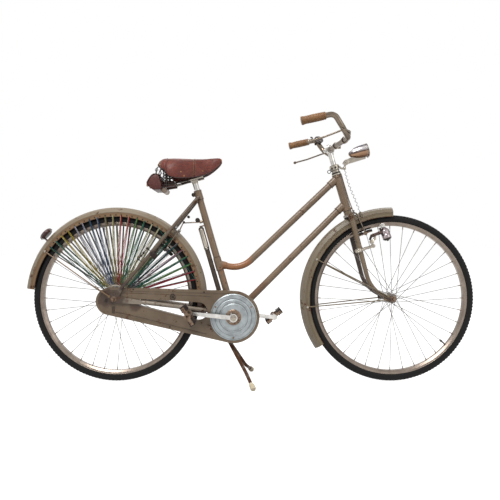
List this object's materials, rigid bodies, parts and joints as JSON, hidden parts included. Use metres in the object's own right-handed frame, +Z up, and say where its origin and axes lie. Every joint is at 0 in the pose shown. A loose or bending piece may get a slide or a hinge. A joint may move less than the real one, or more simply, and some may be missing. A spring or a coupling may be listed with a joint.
{
  "type": "step-through bicycle",
  "caption": "Step-through roadster bicycle with rod brakes, full chain case, cord skirt guards, leather saddle, lamp and centre stand.",
  "frame": {"origin": "on the floor, midway along the length and on the centre plane", "axes": "+X forward, +Y to the rider's left, +Z up"},
  "size_m": [1.8758, 0.545, 1.0802],
  "materials": {
    "frame_paint": "aged taupe enamel with rust",
    "fork_paint": "aged taupe enamel with rust",
    "guard_paint": "aged taupe enamel with rust",
    "case_paint": "aged enamel, worn",
    "disc_paint": "grey-blue enamel with rust spots",
    "black_steel": "worn black",
    "nickel": "dulled plating with rust",
    "rim_steel": "dulled plating",
    "hub_steel": "dulled",
    "rusty_steel": "rust brown",
    "tyre": "dusty rubber",
    "grip_rubber": "golden brown, worn dark at the ends",
    "pedal_rubber": "ribbed blocks, dusty",
    "foot_rubber": "cream rubber",
    "saddle_leather": "cognac brown, worn",
    "bag_leather": "dark brown",
    "tin_metal": "dull",
    "reflector_red": "moulded lens",
    "lamp_chrome": "plated",
    "lamp_lens": "fluted",
    "pump_dark": "dark body with bright handle",
    "cord": "coloured cotton cords",
    "wire": "curly lead",
    "dynamo_metal": "dull"
  },
  "bodies": {
    "frame": {"seat_tube": "frame_paint", "head_tube": "frame_paint", "upper_tube": "frame_paint", "lower_tube": "frame_paint", "bottom_bracket": "frame_paint", "seat_stays": "frame_paint", "chain_stays": "frame_paint", "stand_bracket": "rusty_steel", "seat_post": "nickel", "saddle_leather": "saddle_leather", "saddle_frame": "black_steel", "tool_bag": "bag_leather", "tool_tube": "tin_metal", "rear_fender": "guard_paint", "reflector": "reflector_red", "chain_case": "case_paint", "disc_cover": "disc_paint", "pump": "pump_dark", "rear_brake": "black_steel", "skirt_guard_right": "cord", "skirt_guard_left": "cord", "rear_axle": "nickel"},
    "steering": {"fork": "fork_paint", "headset": "nickel", "stem": "nickel", "handlebar": "nickel", "grips": "grip_rubber", "brake_levers": "nickel", "bell": "nickel", "headlamp": "lamp_chrome", "lamp_glass": "lamp_lens", "lamp_bracket": "black_steel", "front_fender": "guard_paint", "front_brake": "black_steel", "dynamo": "dynamo_metal", "lamp_wire": "wire", "front_axle": "nickel"},
    "front_wheel": {"front_tyre": "tyre", "front_rim": "rim_steel", "front_spoked_hub": "hub_steel"},
    "rear_wheel": {"rear_tyre": "tyre", "rear_rim": "rim_steel", "rear_spoked_hub": "hub_steel"},
    "crankset": {"cranks": "nickel"},
    "right_pedal": {"pedal_right": "pedal_rubber"},
    "left_pedal": {"pedal_left": "pedal_rubber"},
    "stand": {"stand_legs": "rusty_steel", "stand_feet": "foot_rubber"}
  },
  "joints": [
    {"name": "steering_turn", "type": "hinge", "parent": "frame", "child": "steering", "pos_m": [0.52402, 0, 0.32849], "axis": [-0.284, 0, 0.9588], "range_deg": [-60, 60]},
    {"name": "front_wheel_spin", "type": "hinge", "parent": "steering", "child": "front_wheel", "pos_m": [0.58989, 0, 0.348], "axis": [0, 1, 0], "continuous": true},
    {"name": "rear_wheel_spin", "type": "hinge", "parent": "frame", "child": "rear_wheel", "pos_m": [-0.56011, 0, 0.348], "axis": [0, 1, 0], "continuous": true},
    {"name": "crank_spin", "type": "hinge", "parent": "frame", "child": "crankset", "pos_m": [-0.06911, 0, 0.274], "axis": [0, 1, 0], "continuous": true},
    {"name": "right_pedal_spin", "type": "hinge", "parent": "crankset", "child": "right_pedal", "pos_m": [-0.24614, 0, 0.29261], "axis": [0, 1, 0], "continuous": true},
    {"name": "left_pedal_spin", "type": "hinge", "parent": "crankset", "child": "left_pedal", "pos_m": [0.10791, 0, 0.25539], "axis": [0, 1, 0], "continuous": true},
    {"name": "stand_fold", "type": "hinge", "parent": "frame", "child": "stand", "pos_m": [-0.118, 0, 0.222], "axis": [0, 1, 0], "range_deg": [0, 91]}
  ]
}
